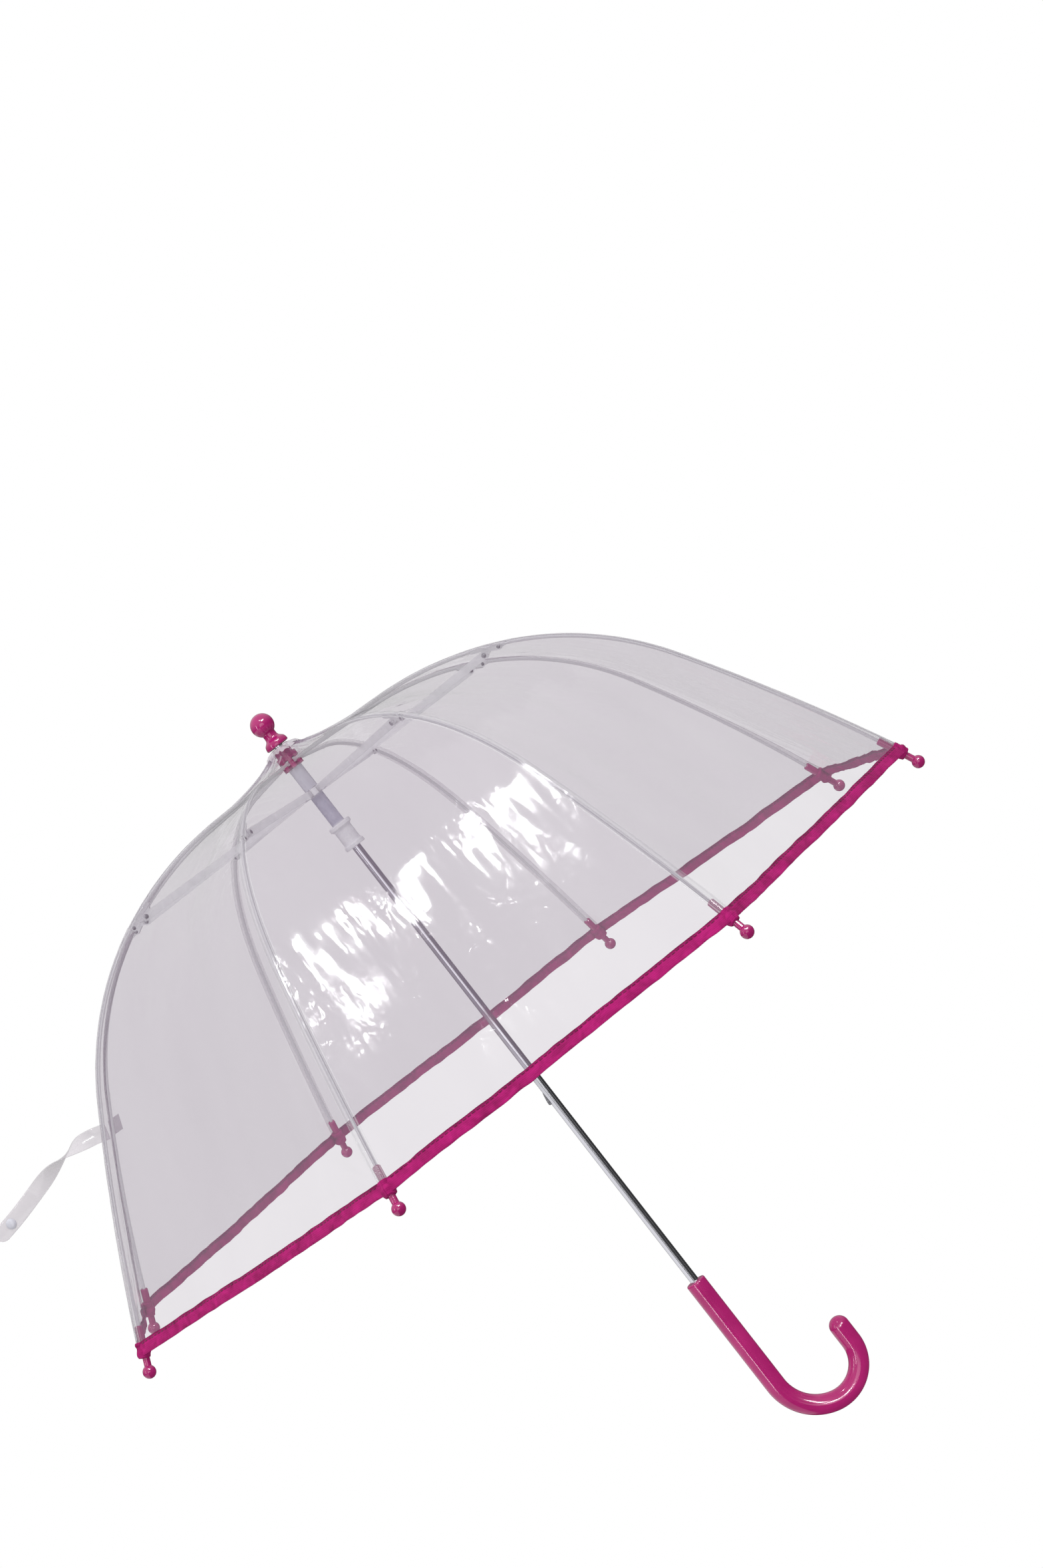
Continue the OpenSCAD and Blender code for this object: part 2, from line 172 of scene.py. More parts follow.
def wrinkle(i, s, t, w, r):
    """Height of the film over its smooth line, in metres."""
    inset = np.maximum(w - np.abs(t), 0)
    free = ease(inset, 0.0005, 0.018)
    near = ease(inset, 0.0, 0.006)
    v = t / np.maximum(w, 1e-6)
    tail = S_H - s
    body = ease(r, 0.03, 0.10)
    sag = -(0.0016 + 0.0022 * ease(s, 0.06, 0.22)) * (1 - v * v) * ease(r, 0.02, 0.09)
    sag = sag * (0.45 + 0.55 * ease(tail, 0.0, 0.06))
    broad = 0.0011 * lump(s / 0.11, t / 0.045, 11 + i) * free * body
    slant = t + 0.12 * (s - S_J)
    folds = 0.00070 * lump(s / 0.070, slant / 0.017, 31 + i) * free * body
    fine = 0.00020 * lump(s / 0.026, t / 0.0075, 51 + i) * free * body
    line = 0.00032 * crease(s / 0.085, (t - 0.2 * s) / 0.030, 71 + i) ** 3 * free * body
    # crown pleats
    ang = t / np.maximum(r, 1e-6)
    ring = ease(r, 0.0075, 0.013) * np.exp(-np.maximum(r - 0.013, 0) / 0.020)
    sharp = np.abs(np.sin(ang * 12.5 + 1.4 * lump(ang * 3, r / 0.02, 91 + i) + i))
    pleat = 0.0024 * (0.5 - sharp) * ring * near
    pleat = pleat + 0.0009 * lump(ang * 24, r / 0.010, 95 + i) * ring * near
    # short creases round the rib joint
    q = np.hypot((s - S_J) / 0.034, inset / 0.026)
    skew = s * 0.8 + np.abs(t)
    spike = crease(skew / 0.0075, (s - np.abs(t)) / 0.030, 111 + i) ** 3 - 0.4
    spike = 0.0015 * spike + 0.0012 * lump(skew / 0.005, (s - np.abs(t)) / 0.030, 115 + i)
    joint = np.exp(-q * q) * spike * near
    # puckers where the tape is sewn on
    pull = np.exp(-np.maximum(tail, 0) / 0.014)
    hem = 0.00055 * pull * lump(t / 0.0065, s / 0.03, 131 + i) * ease(inset, 0.002, 0.012)
    hem = hem + 0.0009 * pull * lump(t / 0.045, 0.5, 141 + i) * ease(inset, 0.0, 0.04)
    # folds that spread from the tips
    far = np.hypot(tail, inset)
    way = np.arctan2(inset, np.maximum(tail, 1e-5))
    fan = 0.0011 * np.exp(-far / 0.055) * ease(far, 0.006, 0.02) * lump(way * 5.5, far / 0.09, 151 + i) * near
    return sag + broad + folds + fine + line + pleat + joint + hem + fan


def surf(i, s, t, lift=0.0):
    """Points of panel i at length s from the crown and t across, raised by lift along the normal."""
    s, t, lift = np.broadcast_arrays(np.asarray(s, float), np.asarray(t, float), np.asarray(lift, float))
    r = np.interp(s, LINE_S, LINE[:, 0])
    z = np.interp(s, LINE_S, LINE[:, 1])
    nr, nz = np.interp(s, LINE_S, NORM[:, 0]), np.interp(s, LINE_S, NORM[:, 1])
    h = wrinkle(i, s, t, r * SH, r) + lift
    a = panel_az(i)
    rho, z = r * CH + nr * h, z + nz * h
    return rho[..., None] * radial(a) + t[..., None] * tangent(a) + z[..., None] * UP


def half_width(s):
    return np.interp(s, LINE_S, LINE[:, 0]) * SH


# ---------------------------------------------------------------- mesh helpers


def make(name, verts, faces, mats, index=None, flat=None):
    """A smooth mesh object. index: each face's material. flat: each vertex's place on the flat sheet."""
    me = bpy.data.meshes.new(name)
    me.from_pydata([tuple(map(float, v)) for v in verts], [], [tuple(map(int, f)) for f in faces])
    for m in mats if isinstance(mats, (list, tuple)) else [mats]:
        me.materials.append(m)
    if index is not None:
        me.polygons.foreach_set("material_index", np.asarray(index, np.int32))
    me.polygons.foreach_set("use_smooth", np.full(len(me.polygons), True))
    if flat is not None:
        at = me.attributes.new("flat", "FLOAT_VECTOR", "POINT")
        at.data.foreach_set("vector", np.asarray(flat, np.float32).ravel())
    me.validate()
    me.update()
    ob = bpy.data.objects.new(name, me)
    bpy.context.scene.collection.objects.link(ob)
    return ob


def quads(rows, cols, wrap=False, turned=False):
    """Faces of a grid of rows x cols vertices, closed across the columns where wrap is set."""
    r = np.arange(rows - 1)[:, None]
    c = np.arange(cols if wrap else cols - 1)[None, :]
    d = (c + 1) % cols
    f = np.stack([r * cols + c, r * cols + d, (r + 1) * cols + d, (r + 1) * cols + c], -1).reshape(-1, 4)
    return f[:, ::-1] if turned else f


def lathe(profile, turns=64):
    """Vertices and faces of a profile of (radius, height) turned about Z."""
    p = np.asarray(profile, float)
    a = np.linspace(0, 2 * math.pi, turns, endpoint=False)
    v = np.stack([p[:, :1] * np.cos(a), p[:, :1] * np.sin(a), np.repeat(p[:, 1:], turns, 1)], -1)
    return v.reshape(-1, 3), quads(len(p), turns, wrap=True)


def rounded(points, radius, steps=5):
    """A line of points with its inner corners rounded."""
    p = [np.asarray(q, float) for q in points]
    out = [p[0]]
    for a, b, c in zip(p, p[1:], p[2:]):
        la, lc = np.linalg.norm(a - b), np.linalg.norm(c - b)
        k = min(radius, 0.45 * la, 0.45 * lc)
        s, e = b + (a - b) / la * k, b + (c - b) / lc * k
        for u in np.linspace(0, 1, steps):
            out.append((1 - u) ** 2 * s + 2 * u * (1 - u) * b + u * u * e)
    out.append(p[-1])
    return np.array(out)


# ---------------------------------------------------------------- materials


class Nodes:
    """A short way to write a material's nodes."""

    def __init__(self, name):
        self.mat = bpy.data.materials.new(name)
        self.mat.use_nodes = True
        self.tree = self.mat.node_tree
        self.tree.nodes.clear()
        self.out = self.tree.nodes.new("ShaderNodeOutputMaterial")
        self.bsdf = self.tree.nodes.new("ShaderNodeBsdfPrincipled")
        self.link(self.bsdf.outputs[0], self.out.inputs["Surface"])

    def link(self, a, b):
        self.tree.links.new(a, b)
        return b

    def set(self, **values):
        for k, v in values.items():
            self.bsdf.inputs[k.replace("_", " ")].default_value = v
        return self

    def node(self, kind, **props):
        n = self.tree.nodes.new("ShaderNode" + kind)
        for k, v in props.items():
            setattr(n, k, v)
        return n

    def place(self, scale=(1, 1, 1), attribute=None, rotation=(0, 0, 0)):
        """Object coordinates, or a named attribute's, stretched by scale."""
        if attribute:
            src = self.node("Attribute", attribute_name=attribute).outputs["Vector"]
        else:
            src = self.node("TexCoord").outputs["Object"]
        m = self.node("Mapping")
        m.inputs["Scale"].default_value = scale
        m.inputs["Rotation"].default_value = rotation
        self.link(src, m.inputs["Vector"])
        return m.outputs["Vector"]

    def noise(self, vector, scale, detail=2.0, rough=0.5, distort=0.0):
        n = self.node("TexNoise")
        n.inputs["Scale"].default_value = scale
        n.inputs["Detail"].default_value = detail
        n.inputs["Roughness"].default_value = rough
        n.inputs["Distortion"].default_value = distort
        self.link(vector, n.inputs["Vector"])
        return n.outputs["Fac"]

    def wave(self, vector, scale, distort=0.0, direction="X"):
        n = self.node("TexWave", bands_direction=direction, wave_profile="SIN")
        n.inputs["Scale"].default_value = scale
        n.inputs["Distortion"].default_value = distort
        self.link(vector, n.inputs["Vector"])
        return n.outputs["Fac"]

    def math(self, op, a, b=0.0, clamp=False):
        n = self.node("Math", operation=op, use_clamp=clamp)
        for k, x in enumerate((a, b)):
            if isinstance(x, (int, float)):
                n.inputs[k].default_value = x
            else:
                self.link(x, n.inputs[k])
        return n.outputs[0]

    def span(self, x, a, b, c, d):
        n = self.node("MapRange")
        n.inputs["From Min"].default_value, n.inputs["From Max"].default_value = a, b
        n.inputs["To Min"].default_value, n.inputs["To Max"].default_value = c, d
        self.link(x, n.inputs["Value"])
        return n.outputs[0]

    def ramp(self, x, stops):
        n = self.node("ValToRGB")
        e = n.color_ramp.elements
        while len(e) < len(stops):
            e.new(0.5)
        for k, (p, c) in enumerate(stops):
            e[k].position = p
            e[k].color = (*c, 1)
        self.link(x, n.inputs["Fac"])
        return n.outputs["Color"]

    def colour(self, socket):
        self.link(socket, self.bsdf.inputs["Base Color"])
        return self

    def rough(self, socket):
        self.link(socket, self.bsdf.inputs["Roughness"])
        return self

    def bump(self, layers):
        """Stacks (height socket, distance in metres, strength) into one normal."""
        last = None
        for height, distance, strength in layers:
            n = self.node("Bump")
            n.inputs["Distance"].default_value = distance
            n.inputs["Strength"].default_value = strength
            self.link(height, n.inputs["Height"])
            if last is not None:
                self.link(last, n.inputs["Normal"])
            last = n.outputs["Normal"]
        self.link(last, self.bsdf.inputs["Normal"])
        return self


def film_material(name, alpha, base, dark, strength=1.0):
    m = Nodes(name)
    m.set(IOR=1.53, Specular_IOR_Level=1.0, Alpha=alpha)
    m.set(Coat_Weight=0.8, Coat_Roughness=0.085, Coat_IOR=1.5)
    long = m.place((0.28, 1, 1), "flat")
    even = m.place((1, 1, 1), "flat")
    haze = m.noise(long, 26, 4, 0.55)
    m.colour(m.ramp(haze, [(0.30, dark), (0.70, base)]))
    m.rough(m.span(m.noise(long, 90, 3), 0.3, 0.7, 0.08, 0.12))
    ridge = m.math("ABSOLUTE", m.math("SUBTRACT", m.noise(long, 34, 2, 0.5, 0.6), 0.5))
    ridge = m.span(ridge, 0.0, 0.10, 1.0, 0.0)
    patch = m.span(m.noise(even, 14, 1), 0.45, 0.62, 0.12, 1.0)
    chip = m.noise(m.place((0.6, 1, 1), "flat", (0, 0, 0.4)), 120, 1.5, 0.5, 1.0)
    m.bump(
        [
            (m.noise(long, 40, 1.5, 0.45, 0.5), 0.0016, 0.60 * strength),
            (ridge, 0.00030, 0.50 * strength),
            (m.math("MULTIPLY", chip, patch), 0.0009, 0.60 * strength),
        ]
    )
    return m.mat


def seam_material():
    m = Nodes("welded_seam")
    m.set(IOR=1.53, Specular_IOR_Level=1.0, Alpha=0.30, Coat_Weight=0.8, Coat_Roughness=0.09)
    at = m.place((0.3, 1, 1), "flat")
    sep = m.node("SeparateXYZ")
    m.link(at, sep.inputs[0])
    across = m.span(m.math("ABSOLUTE", sep.outputs["Y"]), 0.0, SEAM_HALF, 0.0, 1.0)
    across = m.math("ADD", across, m.span(m.noise(at, 60, 3), 0.3, 0.7, -0.03, 0.03))
    # The ramp across the band paints light stripes on the weld ridge crests and dark stripes in the grooves
    # between them: painted highlight and painted shade over a pale band.
    pale, light, dark = (0.60, 0.58, 0.62), (0.90, 0.89, 0.91), (0.16, 0.14, 0.19)
    half = [(0.0, pale), (0.22, pale), (0.30, light), (0.42, dark), (0.56, pale)]
    m.colour(m.ramp(across, half + [(0.70, dark), (0.84, light), (1.0, pale)]))
    m.rough(m.span(m.noise(at, 150, 2), 0.3, 0.7, 0.06, 0.16))
    m.bump([(m.noise(at, 180, 3), 0.0005, 0.5)])
    return m.mat


def plastic_material(name, deep, light, rough=(0.13, 0.18), coat=0.6, orange=0.05, gloss=0.12):
    """Glossy moulded plastic: slight colour drift, fine orange peel, scuffs in the gloss."""
    m = Nodes(name)
    m.set(IOR=1.49, Specular_IOR_Level=0.5, Coat_Weight=coat, Coat_Roughness=gloss)
    at = m.place()
    m.colour(m.ramp(m.noise(at, 38, 4, 0.6), [(0.30, deep), (0.72, light)]))
    scuff = m.noise(m.place((1, 1, 0.25)), 260, 4, 0.65)
    m.rough(m.span(scuff, 0.35, 0.75, *rough))
    m.bump(
        [
            (m.noise(at, 620, 2), 0.00006, orange),
            (m.noise(at, 90, 2), 0.00025, orange),
        ]
    )
    return m.mat


def chrome_material():
    m = Nodes("chrome_tube")
    m.set(Metallic=1.0, IOR=2.5)
    drawn = m.place((1, 1, 0.006))
    m.colour(m.ramp(m.noise(drawn, 900, 3), [(0.30, (0.66, 0.66, 0.71)), (0.70, (0.80, 0.80, 0.85))]))
    m.rough(m.span(m.noise(m.place((1, 1, 0.15)), 45, 2), 0.3, 0.75, 0.08, 0.12))
    m.bump([(m.noise(drawn, 500, 1), 0.00002, 0.05)])
    return m.mat


def steel_material():
    m = Nodes("spring_steel")
    m.set(Metallic=1.0)
    at = m.place()
    m.colour(m.ramp(m.noise(at, 300, 3), [(0.3, (0.26, 0.26, 0.28)), (0.7, (0.46, 0.46, 0.49))]))
    m.rough(m.span(m.noise(at, 700, 3), 0.3, 0.7, 0.22, 0.42))
    m.bump([(m.noise(at, 1800, 2), 0.00004, 0.4)])
    return m.mat


def rod_material():
    """Pale fibreglass rod: fine lengthwise glass streaks under a thin resin skin."""
    m = Nodes("fibreglass_rod")
    m.set(IOR=1.52, Specular_IOR_Level=0.5, Coat_Weight=0.25, Coat_Roughness=0.15)
    at = m.place()
    grain = m.noise(at, 1300, 4, 0.7)
    m.colour(m.ramp(grain, [(0.32, (0.62, 0.62, 0.64)), (0.68, (0.82, 0.82, 0.84))]))
    m.rough(m.span(m.noise(at, 500, 2), 0.3, 0.7, 0.28, 0.48))
    m.bump([(grain, 0.00005, 0.4)])
    return m.mat


def frosted_material(name, dark, light, alpha, rough=(0.22, 0.42)):
    """Translucent moulded plastic with flow streaks."""
    m = Nodes(name)
    m.set(IOR=1.49, Specular_IOR_Level=0.6, Alpha=alpha)
    at = m.place()
    flow = m.noise(m.place((1, 1, 0.4)), 110, 3, 0.6, 1.2)
    m.colour(m.ramp(flow, [(0.3, dark), (0.7, light)]))
    m.rough(m.span(m.noise(at, 240, 3), 0.3, 0.7, *rough))
    m.bump([(flow, 0.0002, 0.3), (m.noise(at, 800, 2), 0.00005, 0.25)])
    return m.mat


def runner_material():
    """White nylon whose thin tube, between the ring and the spool, is bluish and see-through."""
    m = Nodes("runner_nylon")
    m.set(IOR=1.5, Specular_IOR_Level=0.5, Subsurface_Weight=0.15, Subsurface_Scale=0.002)
    m.bsdf.inputs["Subsurface Radius"].default_value = (1, 1, 1.1)
    at = m.place()
    sep = m.node("SeparateXYZ")
    m.link(at, sep.inputs[0])
    z = sep.outputs["Z"]
    low = m.span(z, T - 0.0915, T - 0.0895, 0.0, 1.0)
    high = m.span(z, T - 0.0655, T - 0.0640, 1.0, 0.0)
    tube = m.math("MULTIPLY", low, high, clamp=True)
    cloud = m.noise(at, 120, 3, 0.6)
    white = m.ramp(cloud, [(0.3, (0.72, 0.72, 0.75)), (0.7, (0.84, 0.84, 0.86))])
    blue = m.ramp(cloud, [(0.3, (0.34, 0.34, 0.43)), (0.7, (0.46, 0.46, 0.56))])
    mix = m.node("Mix", data_type="RGBA")
    m.link(tube, mix.inputs["Factor"])
    m.link(white, mix.inputs[6])
    m.link(blue, mix.inputs[7])
    m.colour(mix.outputs[2])
    m.rough(m.span(m.noise(at, 300, 2), 0.3, 0.7, 0.20, 0.38))
    m.bump([(m.noise(at, 700, 2), 0.00006, 0.3)])
    return m.mat


def tape_material():
    """Woven satin binding: fine cross ribs, soft sheen, puckers at the stitches, with painted shade in the
    fold hollows and along the upper edge and painted highlight on the fold crests.
    """
    m = Nodes("binding_tape")
    m.set(Specular_IOR_Level=0.15, Sheen_Weight=0.05, Sheen_Roughness=0.4, Sheen_Tint=(1.0, 0.35, 0.70, 1))
    at = m.place((1, 1, 1), "flat")
    rib = m.wave(at, 260, 0.4, "Y")
    warp = m.wave(at, 330, 0.4, "X")
    patch = m.noise(at, 70, 4, 0.6)
    fold = m.noise(m.place((1, 1, 1), "flat", (0, 0, 0.6)), 130, 2, 0.5, 0.8)
    # The colour follows the fold noise that also drives the bump, so fold crests are painted lighter and
    # hollows darker: painted highlight and painted shade, mixed with random tone from patch.
    shade = m.math("ADD", m.math("MULTIPLY", patch, 0.5), m.math("MULTIPLY", fold, 0.5))
    # painted shade: the upper edge, where the tape turns in, is painted darker
    sep = m.node("SeparateXYZ")
    m.link(at, sep.inputs[0])
    across = m.math("MODULO", m.math("ADD", sep.outputs["Y"], 0.03), 0.04)
    edge = m.span(across, 0.01 - TAPE_W / 2 + 0.0004, 0.01 - TAPE_W / 2 + 0.0019, 0.30, 0.0)
    shade = m.math("SUBTRACT", shade, edge)
    # The darkest pink is painted shade for the upper edge and the fold hollows; the palest pink is random
    # tone plus painted highlight on the fold crests.
    edge_and_fold_shade_pink, deep_pink, pale_tone_and_fold_highlight_pink = (0.15, 0.002, 0.050), (0.27, 0.003, 0.092), (0.46, 0.010, 0.168)
    m.colour(m.ramp(shade, [(0.20, edge_and_fold_shade_pink), (0.36, deep_pink), (0.64, pale_tone_and_fold_highlight_pink)]))
    m.rough(m.span(patch, 0.3, 0.7, 0.42, 0.62))
    m.bump(
        [
            (fold, 0.0006, 0.6),
            (rib, 0.00012, 0.6),
            (warp, 0.00008, 0.4),
        ]
    )
    return m.mat


def thread_material():
    m = Nodes("sewing_thread")
    m.set(Specular_IOR_Level=0.3, Sheen_Weight=0.3)
    at = m.place()
    twist = m.wave(m.place((1, 1, 1), None, (0.5, 0.5, 0.5)), 900, 0.6)
    # The colour follows the same twist wave as the bump: painted highlight on the plies and painted shade in
    # the grooves between them.
    m.colour(m.ramp(twist, [(0.2, (0.090, 0.002, 0.032)), (0.8, (0.175, 0.006, 0.065))]))
    m.rough(m.span(m.noise(at, 900, 2), 0.3, 0.7, 0.5, 0.75))
    m.bump([(twist, 0.00008, 0.5)])
    return m.mat


FILM = film_material("clear_film", 0.32, (0.34, 0.265, 0.355), (0.28, 0.20, 0.295))
CROWN = film_material("crown_film", 0.56, (0.88, 0.85, 0.89), (0.46, 0.40, 0.47), 1.8)
STRAP = film_material("strap_film", 0.42, (0.66, 0.61, 0.66), (0.58, 0.53, 0.58), 0.02)
SEAM = seam_material()
PINK = plastic_material("pink_plastic", (0.44, 0.010, 0.155), (0.54, 0.019, 0.195))
# A painted-shade copy of the pink plastic: a darker base for the ferrule cap, top notch and rib tips, which
# catch more of the key light, with a glossier coat.
PINK_SHADED_GLOSSY = plastic_material(
    "pink_plastic_shaded_copy", (0.34, 0.009, 0.118), (0.43, 0.016, 0.160), rough=(0.09, 0.15), coat=0.7, gloss=0.07
)
CHROME, STEEL, ROD = chrome_material(), steel_material(), rod_material()
SLEEVE = frosted_material("sleeve_nylon", (0.55, 0.55, 0.62), (0.70, 0.70, 0.77), 0.93)
BAR = frosted_material("stretcher_nylon", (0.80, 0.80, 0.82), (0.92, 0.92, 0.94), 0.42, (0.14, 0.28))
RUNNER, TAPE, THREAD = runner_material(), tape_material(), thread_material()

# ---------------------------------------------------------------- materials on the CAD nodes


def dress(node, mat):
    me = cad[node].data
    me.materials.clear()
    me.materials.append(mat)


dress("shaft_tube", CHROME)
dress("top_notch", PINK_SHADED_GLOSSY)
dress("stop_sleeve", SLEEVE)
dress("runner", RUNNER)
for name in ("notch_wire", "runner_wire", "top_catch", "bottom_catch"):
    dress(name, STEEL)
for i in RIBS:
    dress(f"rib_inner_{i}", ROD)
    dress(f"rib_outer_{i}", ROD)
    dress(f"stretcher_{i}", BAR)
    dress(f"tip_{i}", PINK_SHADED_GLOSSY)

# ---------------------------------------------------------------- canopy film


def gore(i, name, s0, s1, rows, cols):
    """Film of panel i from s0 to s1, with its flat area, its width at the lower edge and its length."""
    s = np.linspace(s0, s1, rows)[:, None] * np.ones((1, cols))
    v = np.linspace(-1, 1, cols)[None, :]
    v = np.sign(v) * (1 - (1 - np.abs(v)) ** 1.15)
    w = half_width(s)
    t = v * w
    p = surf(i, s, t)
    flat = np.stack([s, t, np.full_like(s, i * 0.37)], -1)
    ob = make(name, p.reshape(-1, 3), quads(rows, cols), FILM, flat=flat.reshape(-1, 3))
    cut = np.linspace(s0, s1, 200)
    area = float(2 * half_width(cut).mean() * (s1 - s0))
    return ob, area, float(2 * half_width(s1)), float(s1 - s0)


def finish_panel(ob, body):
    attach(ob, body)
    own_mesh(ob)


S_END = S_H + 0.0028
film = {}
for i in RIBS:
    up, up_area, up_w, up_l = gore(i, f"film_upper_{i}", 0.0, S_J, 78, 73)
    low, low_area, low_w, low_l = gore(i, f"film_lower_{i}", S_J, S_END, 118, 105)
    film[i] = (up, low, (up_area, up_w, up_l), (low_area, low_w, low_l))

# ---------------------------------------------------------------- hem tape and its stitches

STITCH_X = -0.0029


def tape_height(x):
    k = np.clip(np.abs(x) / (TAPE_W / 2), 0, 1)
    body = TAPE_T / 2 * np.sqrt(np.clip(1 - k**7, 0, 1))
    return body - 0.00018 * np.exp(-(((x - STITCH_X) / 0.0006) ** 2))


def tape(i):
    w = float(half_width(S_H))
    n = 150
    t = np.linspace(-w, w, n)
    x = np.linspace(-1, 1, 17)
    x = np.sign(x) * (1 - (1 - np.abs(x)) ** 1.6) * TAPE_W / 2
    xs = np.concatenate([x, x[-2:0:-1]])
    side = np.concatenate([np.ones(len(x)), -np.ones(len(x) - 2)])
    crimp = 0.00013 * lump(t[:, None] / 0.0021, xs[None, :] / 0.003, 201 + i)
    swing = 0.00035 * lump(t[:, None] / 0.012, 0.5, 221 + i)
    h = side[None, :] * tape_height(xs)[None, :] + crimp * (tape_height(xs)[None, :] > 1e-4)
    wide = xs[None, :] * (1 + 0.05 * lump(t[:, None] / 0.009, 0.3, 241 + i)) + swing
    p = surf(i, S_H + wide, t[:, None] * np.ones_like(wide), h)
    along = t[:, None] * np.ones_like(wide)
    flat = np.stack([along, wide + side[None, :] * 0.02, np.full_like(wide, i * 0.1)], -1)
    verts, faces, tex = [p.reshape(-1, 3)], [quads(n, len(xs), wrap=True)], [flat.reshape(-1, 3)]
    index = [np.zeros(len(faces[0]), int)]
    # running stitch on both faces
    count = int((2 * w - 0.012) / 0.0036)
    mids = (np.arange(count) - (count - 1) / 2) * 0.0036
    along = np.array([-0.00142, -0.00115, -0.0005, 0.0005, 0.00115, 0.00142])
    thick = np.array([0.00003, 0.00022, 0.00029, 0.00029, 0.00022, 0.00003])
    ang = np.linspace(0, 2 * math.pi, 6, endpoint=False)
    for face in (1, -1):
        tt = mids[:, None, None] + along[None, :, None] + 0 * ang[None, None, :]
        off = thick[None, :, None] * np.cos(ang)[None, None, :]
        rise = thick[None, :, None] * np.sin(ang)[None, None, :]
        lean = 0.00025 * lump(mids / 0.004, 0.1, 261 + i)[:, None, None]
        base = float(tape_height(np.array([STITCH_X]))[0]) + 0.00006
        q = surf(i, S_H + STITCH_X + off + lean, tt, face * (base + rise + 0.00013))
        start = sum(len(a) for a in verts)
        one = quads(6, 6, wrap=True)
        fs = (one[None] + (np.arange(count) * 36)[:, None, None]).reshape(-1, 4) + start
        verts.append(q.reshape(-1, 3))
        tex.append(q.reshape(-1, 3))
        faces.append(fs)
        index.append(np.ones(len(fs), int))
    verts, faces, index, tex = np.vstack(verts), np.vstack(faces), np.concatenate(index), np.vstack(tex)
    return make(f"hem_tape_{i}", verts, faces, [TAPE, THREAD], index, tex)


for i in RIBS:
    up, low, (ua, uw, ul), (la, lw, ll) = film[i]
    band = tape(i)
    finish_panel(up, f"panel_upper_{i}")
    finish_panel(low, f"panel_lower_{i}")
    finish_panel(band, f"panel_lower_{i}")
    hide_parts(f"panel_upper_{i}")
    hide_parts(f"panel_lower_{i}")

# ---------------------------------------------------------------- welded seams over the ribs


def seam(i, name, s0, s1, rows):
    """A welded band over rib i: three fine ridges each side of the crease."""
    after, before = i, (i - 2) % 8 + 1
    q = np.linspace(-SEAM_HALF, SEAM_HALF, 45)
    s = np.linspace(s0, s1, rows)[:, None] * np.ones((1, len(q)))
    w = half_width(s)
    reach = np.minimum(SEAM_HALF, w * 0.8) / SEAM_HALF
    qq = q[None, :] * reach
    ridge = sum(np.exp(-(((np.abs(q) - c) / 0.00028) ** 2)) for c in (0.0013, 0.0036))
    ridge = ridge + 0.6 * np.exp(-(((np.abs(q) - 0.0025) / 0.0002) ** 2))
    edge = ease(SEAM_HALF - np.abs(q), 0.0, 0.0002)
    lift = 0.00010 + 0.00016 * edge + 0.00026 * ridge
    lift = lift[None, :] * (1 + 0.25 * lump(s / 0.009, q[None, :] / 0.002, 301 + i))
    a = surf(after, s, -w + qq, lift)
    b = surf(before, s, w + qq, lift)
    p = np.where((q >= 0)[None, :, None], a, b)
    flat = np.stack([s, qq, np.full_like(s, i * 0.21)], -1)
    return make(name, p.reshape(-1, 3), quads(rows, len(q)), SEAM, flat=flat.reshape(-1, 3))


for i in RIBS:
    a = seam(i, f"seam_upper_{i}", 0.018, S_J, 70)
    b = seam(i, f"seam_lower_{i}", S_J, S_H - 0.0042, 110)
    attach(a, f"rib_inner_{i}")
    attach(b, f"rib_outer_{i}")

# ---------------------------------------------------------------- tape wrapped round the tips


def tip_wrap(i):
    a = rib_az(i)
    er, et = radial(a), tangent(a)
    d3 = HEM_D[0] * er + HEM_D[1] * UP
    n2 = turn(A_H)
    n3 = n2[0] * er + n2[1] * UP
    mid = P_H[0] * er + P_H[1] * UP
    rows, cols = 26, 60
    x = np.linspace(-0.0058, 0.0056, rows)[:, None]
    f = np.linspace(0, 2 * math.pi, cols, endpoint=False)[None, :]
    out = np.cos(f)
    oval = 0.0037 + 0.0014 * np.clip(out, 0, 1) ** 1.5 + 0.0010 * np.abs(np.sin(f)) ** 3
    fold = crease(f * 1.9 + x / 0.004 + i, x / 0.006, 401 + i) * 0.0007
    band = 0.00035 * np.sin(x / 0.0011 + 1.3 * np.sin(f + i))
    swell = 1 - 0.16 * (np.abs(x) / 0.0058) ** 4
    rad = (oval + fold + band) * swell
    waist = 1 - 0.10 * np.exp(-((x + 0.0015) / 0.0012) ** 2)
    rad = np.maximum(rad * waist, 0.0032)
    rad[0], rad[-1] = 0.0030, 0.0030
    p = mid + x[..., None] * d3 + (rad * out)[..., None] * n3 + (rad * np.sin(f))[..., None] * et
    flat = np.stack([f * 0.004 + 0 * x, x + 0 * f, np.full_like(rad, i * 0.1)], -1)
    faces = quads(rows, cols, wrap=True)
    return make(f"tip_wrap_{i}", p.reshape(-1, 3), faces, TAPE, flat=flat.reshape(-1, 3))


for i in RIBS:
    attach(tip_wrap(i), f"rib_outer_{i}")

# ---------------------------------------------------------------- rivet heads at the rib joints


